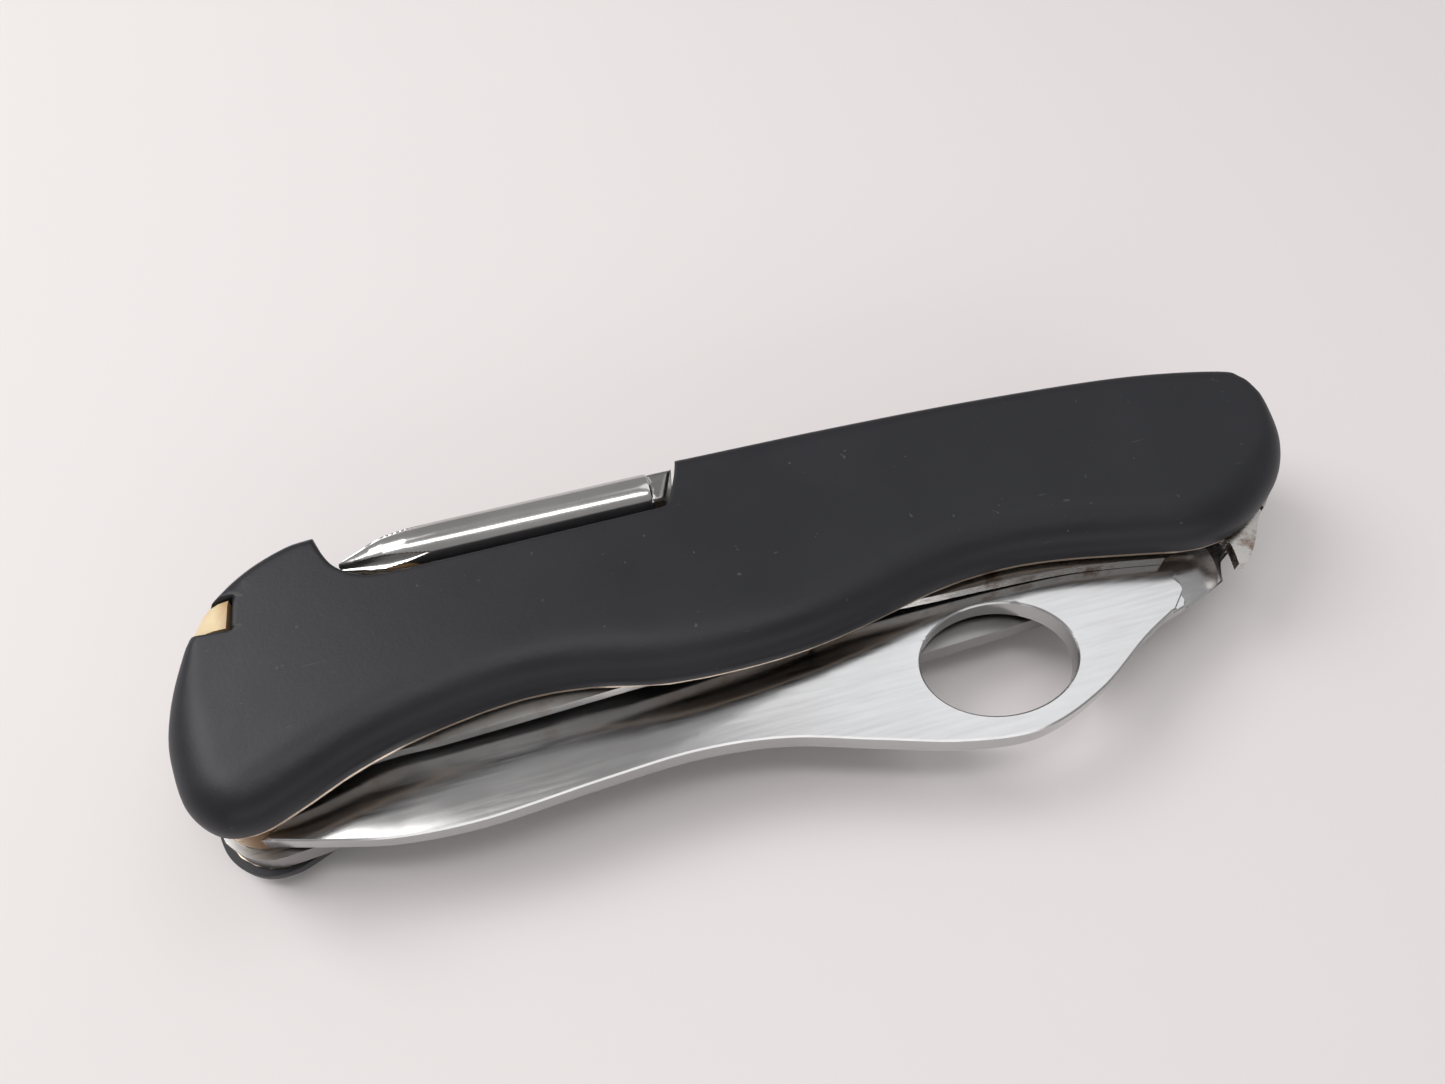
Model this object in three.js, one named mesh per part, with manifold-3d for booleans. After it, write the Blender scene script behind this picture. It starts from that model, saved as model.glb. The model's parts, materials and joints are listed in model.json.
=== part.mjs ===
// Closed folding multi-tool pocket knife, millimetres, +Z up.
// +X: blade pivot end. +Y: back of the handle. z = 0 while building is the underside of the front scale.
import * as THREE from 'three';
import Module from 'manifold-3d';
import { mergeVertices } from 'three/addons/utils/BufferGeometryUtils.js';

const wasm = await Module();
wasm.setup();

// driving dimensions
const SCALE_T = 3.8;
const LINER_T = 0.5;
const GAP_T = 0.55;
const PLATE_T = 1.2;
const BLADE_T = 2.4;
const OPENER_T = 2.2;
const PLAY = 0.05;
const PIN_R = 1.25;
const BORE_R = 1.55;
const HEAD_R = 1.9;
const BLADE_PIVOT = [48.5, -1.5];
const TOOL_PIVOT = [-48.5, -6.7];
const BACK_PIVOT = [-0.9, 10.4];
const SPRING_PIN = [-45.8, 2.6];
const DRIVER_R = 2.4;
const DRIVER_Y = 13.05;
const DRIVER_Z = -0.1;
const FINGER_HOLE = [18.7, -12.6, 7.7, 5.8];

// layer levels, top face of each layer going down
const Z_LINER = 0;
const Z_GAP = Z_LINER - LINER_T;
const Z_PLATE = Z_GAP - GAP_T;
const Z_BLADE = Z_PLATE - PLATE_T - PLAY;
const Z_BLINER = Z_BLADE - BLADE_T - PLAY;
const Z_OPENER = Z_BLINER - LINER_T - PLAY;
const Z_BKLINER = Z_OPENER - OPENER_T - PLAY;
const Z_BACK = Z_BKLINER - LINER_T;
const Z_BOTTOM = Z_BACK - SCALE_T;

const COLOURS = {
  nylon: [0x1c1c1e, 0.55, 0],
  steel: [0xb4b5b6, 0.25, 1],
  spring_steel: [0x9a9a98, 0.35, 1],
  brass: [0xb08a4a, 0.4, 1],
  ivory: [0xe8d9b0, 0.5, 0],
  grey_plastic: [0x8c8e90, 0.5, 0],
};

const root = new THREE.Group();
root.name = 'folding_tool_knife';

function material(name) {
  const [color, roughness, metalness] = COLOURS[name];
  return new THREE.MeshStandardMaterial({ name, color, roughness, metalness });
}

function toSolid(geometry) {
  let g = geometry.clone();
  g.deleteAttribute('normal');
  g.deleteAttribute('uv');
  g = mergeVertices(g, 1e-4);
  const mesh = new wasm.Mesh({
    numProp: 3,
    vertProperties: new Float32Array(g.attributes.position.array),
    triVerts: new Uint32Array(g.index.array),
  });
  return new wasm.Manifold(mesh);
}

function toGeometry(solid) {
  const mesh = solid.getMesh();
  const g = new THREE.BufferGeometry();
  g.setAttribute('position', new THREE.BufferAttribute(new Float32Array(mesh.vertProperties), 3));
  g.setIndex(new THREE.BufferAttribute(new Uint32Array(mesh.triVerts), 1));
  g.computeVertexNormals();
  return g;
}

function add(name, solid, colour) {
  const mesh = new THREE.Mesh(toGeometry(solid), material(colour));
  mesh.name = name;
  root.add(mesh);
}

// outline as plain corner points, with repeated points dropped
function cornered(shape, curveSegments) {
  const kept = [];
  for (const p of shape.getPoints(curveSegments)) {
    const last = kept[kept.length - 1];
    if (!last || last.distanceTo(p) > 0.01) kept.push(p);
  }
  while (kept[0].distanceTo(kept[kept.length - 1]) < 0.01) kept.pop();
  return new THREE.Shape(kept);
}

// prism between two levels from an outline
function prism(shape, top, thickness, curveSegments = 4) {
  const flat = cornered(shape, curveSegments);
  const g = new THREE.ExtrudeGeometry(flat, { depth: thickness, bevelEnabled: false });
  g.translate(0, 0, top - thickness);
  return toSolid(g);
}

function disc(x, y, radius, top, thickness, segments = 32) {
  const g = new THREE.CylinderGeometry(radius, radius, thickness, segments);
  g.rotateX(Math.PI / 2);
  g.translate(x, y, top - thickness / 2);
  return toSolid(g);
}

function vectors(points) {
  return points.map((p) => new THREE.Vector2(p[0], p[1]));
}

// outline through groups of points: each group is a smooth run, groups meet at sharp corners
function outline(groups) {
  const shape = new THREE.Shape();
  shape.moveTo(groups[0][0][0], groups[0][0][1]);
  for (const group of groups) {
    const from = shape.currentPoint;
    const first = group[0];
    const same = Math.hypot(from.x - first[0], from.y - first[1]) < 1e-6;
    if (!same) shape.lineTo(first[0], first[1]);
    if (group.length === 2) shape.lineTo(group[1][0], group[1][1]);
    if (group.length > 2) shape.splineThru(vectors(group.slice(1)));
  }
  return shape;
}

function drill(solid, places) {
  let out = solid;
  for (const [x, y, r] of places) {
    out = out.subtract(disc(x, y, r, 20, 60, 32));
  }
  return out;
}

// closed handle outline, used by the scales and, inset, by the liners
const LOWER_EDGE = [
  [-55.5, -0.8], [-55.3, -4.2], [-54.1, -8.6], [-51.6, -11.3], [-48.6, -11.8], [-45.3, -10.7],
  [-40.0, -8.4], [-34.0, -6.75], [-26.2, -5.7], [-19.7, -6.1], [-12.4, -7.75], [-5.0, -8.2],
  [1.5, -7.9], [8.0, -6.8], [15.5, -5.2], [22.0, -4.8], [28.1, -5.4], [35.2, -6.8],
  [41.0, -7.9], [45.4, -7.4], [49.4, -5.6], [53.0, -2.8], [55.2, 0.5],
];
const RIGHT_END = [[55.2, 0.5], [55.9, 3.6], [56.0, 6.9], [55.3, 9.0], [52.6, 10.7]];
const BACK_EDGE = [[52.6, 10.7], [42.0, 12.9], [25.8, 14.2], [10.0, 14.8], [-5.2, 15.0]];
const BACK_LEFT = [[-5.2, 15.0], [-24.0, 15.4], [-41.9, 15.6]];
const LEFT_END = [
  [-41.9, 15.6], [-44.8, 15.4], [-48.6, 13.8], [-51.7, 11.2], [-53.6, 7.8], [-55.0, 3.4], [-55.5, -0.8],
];

function insetGroup(group, amount) {
  const cx = 0;
  const cy = 2.5;
  return group.map(([x, y]) => {
    const sx = x - cx;
    const sy = y - cy;
    const ex = Math.abs(sx) > 40 ? Math.sign(sx) * amount * Math.min(1, (Math.abs(sx) - 40) / 12) : 0;
    const ey = Math.sign(sy) * amount * Math.min(1, Math.abs(sy) / 5);
    return [x - ex, y - ey];
  });
}

// the back scale and its liner reach a little lower round the tools' pivot
function sagged(group) {
  return group.map(([x, y]) => (y < -6 && x < -38 ? [x, y - 0.8] : [x, y]));
}

function handleShape(amount = 0, sag = false) {
  const lower = sag ? sagged(LOWER_EDGE) : LOWER_EDGE;
  const groups = [lower, RIGHT_END, BACK_EDGE, BACK_LEFT, LEFT_END];
  return outline(groups.map((g) => insetGroup(g, amount)));
}

// room for the folded cross-head driver, open to the back
function notchShape(grow = 0) {
  return outline([
    [[-5.0 + grow, 17], [-5.3 + grow, 13.9], [-6.0 + grow, 11.8], [-7.4 + grow, 9.4 - grow],
      [-9.6, 8.9 - grow]],
    [[-9.6, 8.9 - grow], [-33.0, 8.7 - grow]],
    [[-33.0, 8.7 - grow], [-36.6, 9.0 - grow], [-39.4, 10.7 - grow], [-40.9, 13.5], [-41.9 - grow, 17]],
    [[-41.9 - grow, 17], [-5.0 + grow, 17]],
  ]);
}

// room for the folded reamer in the back scale
function reamerNotchShape() {
  return outline([
    [[2.0, 17], [3.0, 13.0], [5.6, 10.8], [9.0, 10.2]],
    [[9.0, 10.2], [30.0, 9.6]],
    [[30.0, 9.6], [34.0, 9.9], [36.6, 11.4], [38.4, 17]],
    [[38.4, 17], [2.0, 17]],
  ]);
}

// closed body through outlines of equal point count, one per level, lowest first
function loft(rings, levels) {
  const count = rings[0].length;
  const positions = [];
  for (let k = 0; k < rings.length; k += 1) {
    for (const p of rings[k]) positions.push(p.x, p.y, levels[k]);
  }
  const index = [];
  for (let k = 0; k < rings.length - 1; k += 1) {
    for (let i = 0; i < count; i += 1) {
      const j = (i + 1) % count;
      const a = k * count + i;
      const b = k * count + j;
      index.push(a, b, b + count);
      index.push(a, b + count, a + count);
    }
  }
  const last = (rings.length - 1) * count;
  for (const [a, b, c] of THREE.ShapeUtils.triangulateShape(rings[0], [])) index.push(a, c, b);
  const top = THREE.ShapeUtils.triangulateShape(rings[rings.length - 1], []);
  for (const [a, b, c] of top) index.push(last + a, last + b, last + c);
  const g = new THREE.BufferGeometry();
  g.setAttribute('position', new THREE.BufferAttribute(new Float32Array(positions), 3));
  g.setIndex(index);
  return toSolid(g);
}

// scale with a rounded upper edge; flat face at z = 0, outer face at z = SCALE_T
function roundedScale(sag = false) {
  const reach = 3.2;
  const rings = [];
  const levels = [];
  for (let i = 0; i <= 5; i += 1) {
    const angle = (i / 5) * (Math.PI / 2);
    rings.push(cornered(handleShape(reach * (1 - Math.cos(angle)), sag), 2).getPoints(1));
    levels.push(SCALE_T - reach + reach * Math.sin(angle));
  }
  rings.unshift(rings[0].map((p) => p.clone()));
  levels.unshift(0);
  return loft(rings, levels);
}

// straight slot for a pull-out tool, seen along its length
function slotBox(from, to, width, zLow, zHigh) {
  const dx = to[0] - from[0];
  const dy = to[1] - from[1];
  const g = new THREE.BoxGeometry(Math.hypot(dx, dy), width, zHigh - zLow);
  g.rotateZ(Math.atan2(dy, dx));
  g.translate((from[0] + to[0]) / 2, (from[1] + to[1]) / 2, (zLow + zHigh) / 2);
  return toSolid(g);
}

const PICK_IN = [-10.0, 5.53];
const PICK_OUT = [-60.0, 9.03];
const PICK_HEAD = [-50.9, 8.39];

function pickDirection() {
  const dx = PICK_OUT[0] - PICK_IN[0];
  const dy = PICK_OUT[1] - PICK_IN[1];
  const l = Math.hypot(dx, dy);
  return [dx / l, dy / l];
}

function frontScale() {
  let s = roundedScale();
  s = s.subtract(prism(notchShape(), 10, 20, 3));
  s = s.subtract(slotBox(PICK_IN, [-50.0, 8.33], 3.1, -1, 1.55));
  s = s.subtract(slotBox([-48.85, 8.25], PICK_OUT, 3.5, -1, 5));
  return drill(s, []).subtract(pinPockets());
}

function pinPockets() {
  const heads = [BLADE_PIVOT, TOOL_PIVOT, BACK_PIVOT, SPRING_PIN];
  let out = disc(heads[0][0], heads[0][1], HEAD_R + 0.3, 0.9, 1.9, 24);
  for (const h of heads.slice(1)) {
    out = out.add(disc(h[0], h[1], HEAD_R + 0.3, 0.9, 1.9, 24));
  }
  return out;
}

const TWEEZER_IN = [-8.0, 3.6];
const TWEEZER_OUT = [-60.0, 9.2];

function backScale() {
  let s = roundedScale(true);
  s = s.rotate([180, 0, 0]).mirror([0, 1, 0]);
  s = s.subtract(prism(reamerNotchShape(), 10, 20, 3));
  s = s.subtract(slotBox(TWEEZER_IN, [-50.0, 8.12], 3.3, -1.9, 1));
  s = s.subtract(slotBox([-48.9, 8.0], TWEEZER_OUT, 3.7, -5, 1));
  s = s.subtract(pinPockets().mirror([0, 0, 1]));
  return s.translate([0, 0, Z_BACK]);
}

function linerPlate(top, inset, withNotch, sag) {
  let s = prism(handleShape(inset, sag), top, LINER_T, 2);
  if (withNotch) s = s.subtract(prism(notchShape(0.1), 10, 30, 3));
  return drill(s, FIXED_BORES);
}

const FIXED_BORES = [
  [...BLADE_PIVOT, PIN_R + 0.02], [...TOOL_PIVOT, PIN_R + 0.02],
  [...BACK_PIVOT, PIN_R + 0.02], [...SPRING_PIN, PIN_R + 0.02],
];

// lock leaf: long arm along the lower edge, thumb tab at its right end
const LEAF_ROOT_X = 2.0;
function leafShape(grow = 0) {
  const g = grow;
  return outline([
    [[LEAF_ROOT_X, -9.5], [LEAF_ROOT_X, -3.2 + g]],
    [[LEAF_ROOT_X, -3.2 + g], [44.0, -4.4 + g]],
    [[44.0, -4.4 + g], [48.0 + g, -4.6 + g], [50.6 + g, -4.7 + g]],
    [[50.6 + g, -4.7 + g], [50.6 + g, -13]],
    [[50.6 + g, -13], [LEAF_ROOT_X, -13]],
  ]);
}

function plateOutline() {
  return outline([
    [[-52.6, -7.2], [-50.6, -8.9], [-48.4, -9.7], [-45.0, -8.9], [-41.0, -7.4], [-37.2, -7.0],
      [-33.4, -7.05], [-27.0, -6.85], [-20.5, -6.6], [-15.0, -6.4], [-9.0, -6.3], [-2.0, -5.9], [4.0, -5.2],
      [10.0, -5.1], [15.0, -5.3], [21.0, -5.5], [28.5, -5.9], [34.0, -6.7], [38.4, -7.5]],
    [[38.4, -7.5], [39.0, -6.4]],
    [[39.0, -6.4], [41.5, -5.9], [44.9, -5.9]],
    [[44.9, -5.9], [45.5, -7.8], [45.1, -10.1]],
    [[45.1, -10.1], [45.9, -10.15], [47.0, -9.3], [48.4, -7.7], [49.7, -5.9]],
    [[49.7, -5.9], [52.6, -3.3], [54.8, 0.4], [55.5, 3.9], [55.6, 6.6], [55.0, 8.6], [52.4, 10.3]],
    [[52.4, 10.3], [42.0, 12.4], [25.8, 13.7], [10.0, 14.3], [-4.0, 14.5]],
    [[-4.0, 14.5], [-24.0, 14.9], [-42.4, 15.1]],
    [[-42.4, 15.1], [-45.0, 14.8], [-48.2, 13.3], [-51.2, 10.9], [-53.1, 7.6], [-54.5, 3.3], [-54.9, -0.8],
      [-54.5, -4.0], [-52.6, -7.2]],
  ]);
}

function lockPlate() {
  let s = prism(plateOutline(), Z_PLATE, PLATE_T, 3);
  s = s.subtract(prism(leafShape(0.45), 10, 30, 3));
  s = s.subtract(prism(notchShape(0.1), 10, 30, 3));
  return drill(s, FIXED_BORES);
}

function lockLeaf() {
  const s = prism(plateOutline(), Z_PLATE, PLATE_T, 3);
  const cut = prism(leafShape(0), 10, 30, 3);
  const trimmed = slotBox([LEAF_ROOT_X + 0.25, -20], [LEAF_ROOT_X + 0.25, 20], 0.5, -10, 10);
  return s.intersect(cut).subtract(trimmed);
}

function bladeShape() {
  const [px, py] = BLADE_PIVOT;
  return outline([
    [[-49.3, -11.3], [-43.8, -12.9], [-37.7, -14.3], [-30.2, -14.75], [-20.0, -14.1], [-11.0, -13.8],
      [-3.0, -14.8], [5.0, -17.3], [12.5, -19.6], [19.6, -20.4], [26.5, -18.3], [33.0, -14.5], [36.9, -12.6]],
    [[36.9, -12.6], [40.5, -11.7], [44.3, -10.3]],
    [[44.3, -10.3], [44.7, -9.3], [45.3, -8.2], [46.6, -7.0]],
    [[46.6, -7.0], [47.4, -5.6], [px + 1.8, py - 3.6], [px + 3.8, py - 1.4], [px + 4.4, py + 1.4],
      [px + 2.4, py + 4.6], [px - 1.6, py + 5.2], [px - 5.5, py + 4.4]],
    [[px - 5.5, py + 4.4], [38.0, 1.4], [36.4, -1.2], [33.8, -1.0], [33.0, 1.2]],
    [[33.0, 1.2], [20.0, 1.7], [0.0, 1.7], [-18.0, 1.1], [-30.0, -1.2], [-39.0, -4.9], [-45.0, -8.6],
      [-49.3, -11.3]],
  ]);
}

function fingerHole() {
  const [x, y, rx, ry] = FINGER_HOLE;
  const shape = new THREE.Shape();
  shape.absellipse(x, y, rx, ry, 0, Math.PI * 2, false, 0);
  return prism(shape, 10, 30, 24);
}

// wedge removed from each face so the blade thins toward its edge
function grindWedge(side) {
  const along = new THREE.Shape();
  const mid = -BLADE_T / 2;
  const face = side > 0 ? 0.6 : -BLADE_T - 0.6;
  const edge = mid + side * 0.12;
  along.moveTo(-6.5, side > 0 ? 0.0 : -BLADE_T);
  along.lineTo(3.2, edge);
  along.lineTo(3.2, face);
  along.lineTo(-6.5, face);
  const g = new THREE.ExtrudeGeometry(along, { depth: 88, bevelEnabled: false });
  // extrude direction becomes -X, shape x becomes part y, shape y becomes part z
  const m = new THREE.Matrix4().makeBasis(
    new THREE.Vector3(0, 1, 0), new THREE.Vector3(0, 0, 1), new THREE.Vector3(1, 0, 0),
  );
  g.applyMatrix4(m);
  g.translate(-54.5, 0, Z_BLADE);
  return toSolid(g);
}

function blade() {
  let s = prism(bladeShape(), Z_BLADE, BLADE_T, 4);
  s = s.subtract(grindWedge(1)).subtract(grindWedge(-1));
  s = s.subtract(fingerHole());
  return drill(s, [[...BLADE_PIVOT, BORE_R]]);
}

// spring above the blade, ends short of the blade's tang circle
function bladeSpring() {
  const s = prism(outline([
    [[-52.6, 1.5], [-53.2, 4.0], [-52.2, 7.6], [-49.6, 10.6], [-46.0, 12.2], [-42.4, 10.6], [-39.2, 8.6]],
    [[-39.2, 8.6], [-10.0, 8.6], [-6.0, 8.2], [-0.9, 6.4], [4.2, 8.2], [8.0, 8.9]],
    [[8.0, 8.9], [22.0, 8.8], [49.4, 8.0]],
    [[49.4, 8.0], [49.4, 4.3]],
    [[49.4, 4.3], [46.0, 4.3]],
    [[46.0, 4.3], [30.0, 4.0], [0.0, 3.2], [-30.0, 2.2], [-42.0, 0.0], [-50.0, -0.3], [-52.6, 1.5]],
  ]), Z_BLADE, BLADE_T - 0.05, 3);
  return drill(s, [[...SPRING_PIN, PIN_R + 0.02]]);
}

// cap lifter on the left pivot with a hooked nose
function capLifterShape() {
  const [px, py] = TOOL_PIVOT;
  return outline([
    [[px - 4.7, py - 2.8], [px - 3.0, py - 4.6], [px - 0.6, py - 5.5], [px + 3.2, py - 5.3]],
    [[px + 3.2, py - 5.3], [-34.0, -11.0], [-22.0, -10.3]],
    [[-22.0, -10.3], [-13.0, -9.8]],
    [[-13.0, -9.8], [-11.0, -8.8], [-10.6, -6.4]],
    [[-10.6, -6.4], [-10.8, -2.0]],
    [[-10.8, -2.0], [-15.4, -2.0]],
    [[-15.4, -2.0], [-16.2, -4.4], [-19.6, -5.6], [-23.0, -4.4], [-24.0, -1.4]],
    [[-24.0, -1.4], [-27.0, -0.8], [-36.0, -1.4], [px + 5.6, py + 3.2], [px + 2.8, py + 5.2],
      [px - 1.0, py + 5.4], [px - 4.4, py + 3.2], [px - 5.5, py + 0.2], [px - 4.7, py - 2.8]],
  ]);
}

// can opener on the right pivot with a hooked beak
function canOpenerShape() {
  const [px, py] = BLADE_PIVOT;
  return outline([
    [[px + 4.2, py + 0.6], [px + 3.4, py + 3.2], [px + 0.8, py + 4.6], [px - 3.4, py + 4.2]],
    [[px - 3.4, py + 4.2], [39.0, 0.2], [30.0, -0.4], [22.0, -1.0]],
    [[22.0, -1.0], [18.6, -3.4], [16.4, -4.6], [14.2, -4.2]],
    [[14.2, -4.2], [11.0, -1.8]],
    [[11.0, -1.8], [8.2, -2.6], [6.6, -5.0], [7.6, -7.9], [10.4, -9.0]],
    [[10.4, -9.0], [24.0, -8.45], [34.0, -7.7], [px - 6.6, py - 5.2]],
    [[px - 6.6, py - 5.2], [px - 3.0, py - 4.4], [px + 0.8, py - 4.0], [px + 3.3, py - 2.3],
      [px + 4.2, py + 0.6]],
  ]);
}

function capLifter() {
  return drill(prism(capLifterShape(), Z_OPENER, OPENER_T, 3), [[...TOOL_PIVOT, BORE_R]]);
}

function canOpener() {
  return drill(prism(canOpenerShape(), Z_OPENER, OPENER_T, 3), [[...BLADE_PIVOT, BORE_R]]);
}

function openerSpring() {
  const s = prism(outline([
    [[-50.6, 0.4], [-51.8, 4.0], [-50.8, 7.6], [-48.4, 10.0], [-44.6, 11.6], [-38.0, 9.2]],
    [[-38.0, 9.2], [-20.0, 8.8], [-8.0, 8.6], [-4.6, 7.4], [-0.9, 6.4], [3.4, 6.9], [8.0, 8.0]],
    [[8.0, 8.0], [24.0, 8.2], [49.4, 7.8]],
    [[49.4, 7.8], [49.4, 4.4]],
    [[49.4, 4.4], [46.0, 4.4]],
    [[46.0, 4.4], [38.0, 2.2], [10.0, 1.2], [-2.6, 1.0], [-20.0, 1.0], [-38.0, 0.4], [-43.0, -0.1],
      [-46.0, 0.1], [-50.6, 0.4]],
  ]), Z_OPENER, OPENER_T - 0.05, 3);
  return drill(s, [[...SPRING_PIN, PIN_R + 0.02]]);
}

// cross-head driver folded in the notch: flat tang on the centre pin, square block, fluted round shaft
function driver() {
  const [px, py] = BACK_PIVOT;
  const tang = prism(outline([
    [[px - 1.0, py + 3.1], [-6.4, 14.7]],
    [[-6.4, 14.7], [-8.9, 14.8]],
    [[-8.9, 14.8], [-8.9, 11.2]],
    [[-8.9, 11.2], [-6.2, 10.6], [px - 3.2, py - 0.6], [px - 1.8, py - 2.7], [px + 0.8, py - 3.1],
      [px + 3.0, py - 1.2], [px + 2.7, py + 1.8], [px + 0.6, py + 3.2], [px - 1.0, py + 3.1]],
  ]), Z_BLADE, BLADE_T - 0.05, 4);
  const block = new THREE.BoxGeometry(2.1, 3.6, 6.2);
  block.translate(-7.95, 13.0, Z_BLADE - BLADE_T + 0.05 + 3.1);
  const shaft = new THREE.CylinderGeometry(DRIVER_R, DRIVER_R, 24.0, 32);
  shaft.rotateZ(Math.PI / 2);
  shaft.translate(-20.6, DRIVER_Y, DRIVER_Z);
  const tip = new THREE.CylinderGeometry(DRIVER_R, 0.7, 7.2, 32);
  tip.rotateZ(-Math.PI / 2);
  tip.translate(-36.2, DRIVER_Y, DRIVER_Z);
  let s = toSolid(shaft).add(toSolid(tip)).add(toSolid(block));
  for (let i = 0; i < 4; i += 1) {
    const flute = new THREE.CylinderGeometry(1.25, 1.25, 12, 16);
    flute.rotateZ(Math.PI / 2 - 0.2);
    flute.translate(-37.5, 2.05, 0);
    flute.rotateX((i * Math.PI) / 2 + Math.PI / 4);
    flute.translate(0, DRIVER_Y, DRIVER_Z);
    s = s.subtract(toSolid(flute));
  }
  return drill(s.add(tang), [[px, py, BORE_R]]);
}

// reamer folded against the back scale
function reamer() {
  const [px, py] = BACK_PIVOT;
  const s = prism(outline([
    [[px - 3.1, py + 0.2], [px - 2.0, py - 2.4], [px + 0.4, py - 3.1], [px + 2.6, py - 2.0], [6.0, py - 1.2]],
    [[6.0, py - 1.2], [14.0, 9.6], [30.0, 10.6], [34.6, 12.0]],
    [[34.6, 12.0], [24.0, 13.0], [8.0, 13.7]],
    [[8.0, 13.7], [3.0, 13.9], [px + 0.6, py + 3.1], [px - 1.8, py + 2.6], [px - 3.1, py + 0.2]],
  ]), Z_OPENER, OPENER_T, 3);
  return drill(s, [[px, py, BORE_R]]);
}

function pin(place, top, bottom, headed) {
  const [x, y] = place;
  let s = disc(x, y, PIN_R, top, top - bottom, 32);
  if (headed) {
    s = s.add(disc(x, y, HEAD_R, 0.7, 0.7, 32));
    s = s.add(disc(x, y, HEAD_R, Z_BACK, 0.7, 32));
  }
  return s;
}

function washer(place) {
  const [x, y] = place;
  return drill(disc(x, y, 2.6, Z_GAP, GAP_T, 32), [[x, y, PIN_R + 0.02]]);
}

function toothpickStrip() {
  const d = pickDirection();
  return slotBox(along(PICK_HEAD, d, -1.65), along(PICK_IN, d, 1.0), 2.5, 0.15, 1.3);
}

function along(base, direction, distance) {
  return [base[0] + direction[0] * distance, base[1] + direction[1] * distance];
}

function toothpickHead() {
  const d = pickDirection();
  const a = along(PICK_HEAD, d, -1.6);
  const b = along(PICK_HEAD, d, 5);
  const flush = roundedScale().translate([0.2, 0, -0.12]);
  return slotBox(a, b, 3.1, 0.15, 5).intersect(flush);
}

function tweezerDirection() {
  const dx = TWEEZER_OUT[0] - TWEEZER_IN[0];
  const dy = TWEEZER_OUT[1] - TWEEZER_IN[1];
  const l = Math.hypot(dx, dy);
  return [dx / l, dy / l];
}

function tweezerLegs() {
  const d = tweezerDirection();
  const a = along(TWEEZER_IN, d, 1.0);
  const b = along(TWEEZER_IN, d, 41.95);
  const low = Z_BACK - 1.65;
  const outer = slotBox(a, b, 2.7, low, low + 1.4);
  const inner = slotBox(along(a, d, -1), along(a, d, 36), 3.5, low + 0.45, low + 0.95);
  return outer.subtract(inner);
}

function tweezerCap() {
  const d = tweezerDirection();
  const a = along(TWEEZER_IN, d, 42.0);
  const b = along(TWEEZER_IN, d, 52);
  const flush = roundedScale().mirror([0, 0, 1]).translate([0.2, 0, Z_BACK + 0.12]);
  return slotBox(a, b, 3.2, Z_BACK - 5, Z_BACK - 0.15).intersect(flush);
}

add('front_scale', frontScale(), 'nylon');
add('back_scale', backScale(), 'nylon');
add('front_liner', linerPlate(Z_LINER, 0.15, true, false), 'brass');
add('lock_plate', lockPlate(), 'spring_steel');
add('lock_leaf', lockLeaf(), 'spring_steel');
add('blade', blade(), 'steel');
add('blade_spring', bladeSpring(), 'spring_steel');
add('blade_liner', linerPlate(Z_BLINER, 0.6, false, false), 'spring_steel');
add('cap_lifter', capLifter(), 'steel');
add('can_opener', canOpener(), 'steel');
add('opener_spring', openerSpring(), 'spring_steel');
add('back_liner', linerPlate(Z_BKLINER, 0.5, false, true), 'spring_steel');
add('cross_driver', driver(), 'steel');
add('reamer', reamer(), 'steel');
add('blade_pin', pin(BLADE_PIVOT, 0.1, Z_BACK - 0.1, true), 'brass');
add('tool_pin', pin(TOOL_PIVOT, 0.1, Z_BACK - 0.1, true), 'brass');
add('centre_pin', pin(BACK_PIVOT, 0.1, Z_BACK - 0.1, true), 'brass');
add('spring_pin', pin(SPRING_PIN, 0.1, Z_BACK - 0.1, true), 'brass');
add('blade_washer', washer(BLADE_PIVOT), 'brass');
add('tool_washer', washer(TOOL_PIVOT), 'brass');
add('spring_washer', washer(SPRING_PIN), 'brass');
add('toothpick_strip', toothpickStrip(), 'ivory');
add('toothpick_head', toothpickHead(), 'ivory');
add('tweezer_legs', tweezerLegs(), 'steel');
add('tweezer_cap', tweezerCap(), 'grey_plastic');

const box = new THREE.Box3().setFromObject(root);
const cx = (box.min.x + box.max.x) / 2;
const cy = (box.min.y + box.max.y) / 2;
for (const mesh of root.children) {
  mesh.geometry.translate(-cx, -cy, -Z_BOTTOM);
}

export default root;
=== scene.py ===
import json
import math

import bmesh
import bpy
import numpy as np
from mathutils import Matrix, Vector
from mathutils.geometry import delaunay_2d_cdt


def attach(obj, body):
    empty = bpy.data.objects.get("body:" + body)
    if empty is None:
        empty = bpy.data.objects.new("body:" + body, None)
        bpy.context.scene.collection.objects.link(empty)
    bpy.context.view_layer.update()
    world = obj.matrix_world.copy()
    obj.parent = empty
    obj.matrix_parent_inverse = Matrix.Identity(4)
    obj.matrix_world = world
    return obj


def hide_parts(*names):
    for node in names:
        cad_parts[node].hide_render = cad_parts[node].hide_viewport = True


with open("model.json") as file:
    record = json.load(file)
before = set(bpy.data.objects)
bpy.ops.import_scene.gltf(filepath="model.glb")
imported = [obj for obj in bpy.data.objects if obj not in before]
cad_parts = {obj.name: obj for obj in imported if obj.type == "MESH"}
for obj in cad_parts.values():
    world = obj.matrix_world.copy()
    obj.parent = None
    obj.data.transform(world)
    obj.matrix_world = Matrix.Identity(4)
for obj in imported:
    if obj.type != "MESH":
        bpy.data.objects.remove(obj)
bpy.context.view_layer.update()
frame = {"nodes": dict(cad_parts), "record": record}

NODES = frame["nodes"]
MM = 0.001

# row frame = build frame + this shift, in mm; build z = 0 is the underside of the front scale
SHIFT = (-0.27, 2.42, 11.85)


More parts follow.
